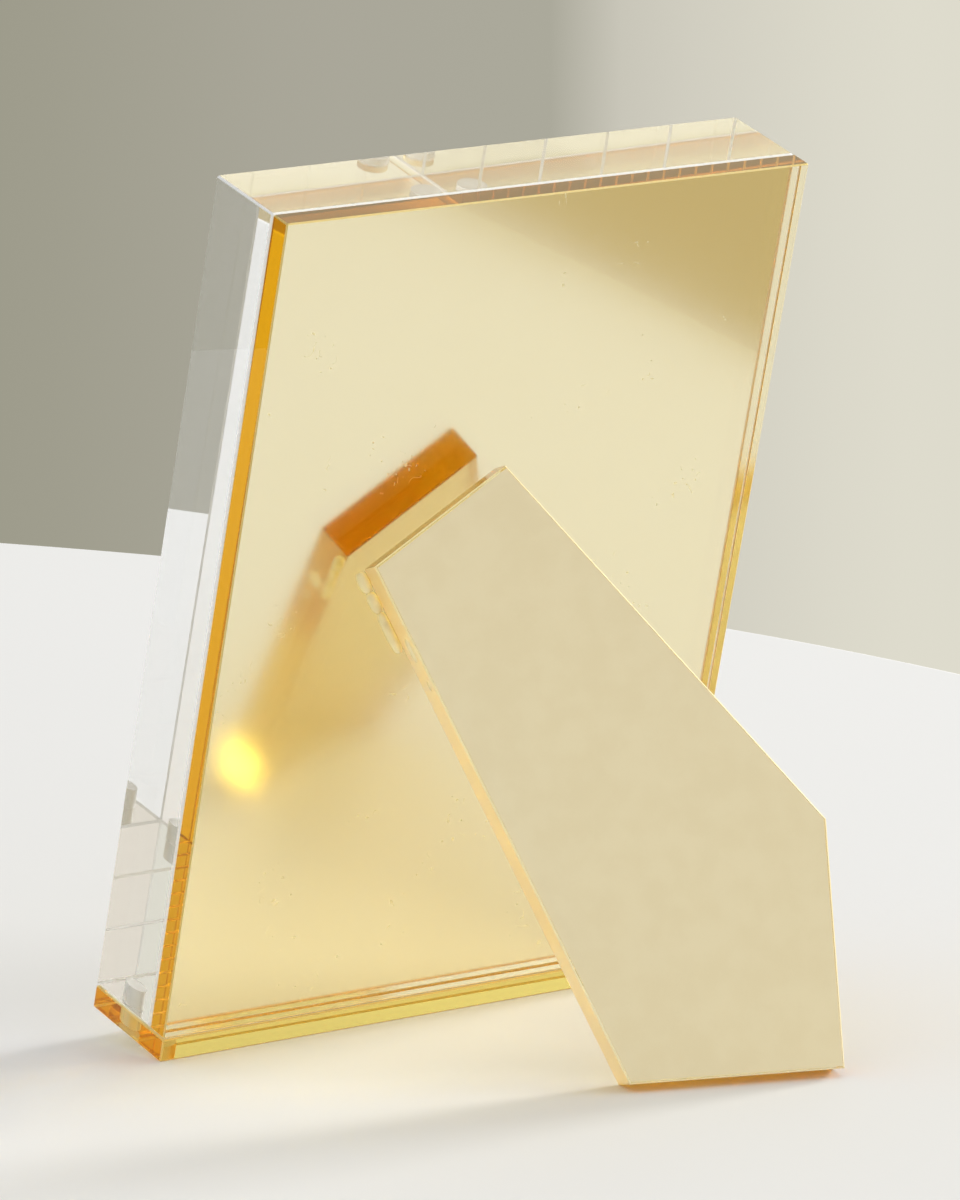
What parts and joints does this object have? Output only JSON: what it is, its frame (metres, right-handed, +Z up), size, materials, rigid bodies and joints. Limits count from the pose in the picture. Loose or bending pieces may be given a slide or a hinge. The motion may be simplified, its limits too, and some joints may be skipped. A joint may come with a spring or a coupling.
{
  "type": "acrylic block photo frame",
  "caption": "Free-standing photo frame: a thick clear acrylic block on an amber mirrored back panel with a ledge, held by magnets and leaning on a glued leg.",
  "frame": {"origin": "On the table, under the middle of the bounding box.", "axes": "+Z up and the longest extent, +X along the ledge, display side toward -Y, leg toward +Y."},
  "size_m": [0.127, 0.1142, 0.1833],
  "materials": {
    "clear_acrylic": "polished, clear",
    "amber_mirror_acrylic": "polished amber sheet with a satin mirror coat on its front side",
    "amber_acrylic": "polished, transparent amber",
    "backed_acrylic": "amber mirror sheet with a satin beige paint on its outer face",
    "magnet_nickel": "nickel plated",
    "cured_adhesive": "cured clear adhesive"
  },
  "bodies": {
    "stand": {"back_panel": "amber_mirror_acrylic", "base_ledge": "amber_acrylic", "easel_leg": "backed_acrylic", "ledge_magnet_left": "magnet_nickel", "ledge_magnet_right": "magnet_nickel", "adhesive_bead_upper": "cured_adhesive", "adhesive_bead_middle": "cured_adhesive", "adhesive_bead_lower": "cured_adhesive"},
    "block": {"front_block": "clear_acrylic", "block_magnet_left": "magnet_nickel", "block_magnet_right": "magnet_nickel"}
  },
  "joints": [
    {"name": "block_pull_off", "type": "slide", "parent": "stand", "child": "block", "axis": [0, -0.9668, 0.2554], "range_m": [0, 0.02]}
  ]
}
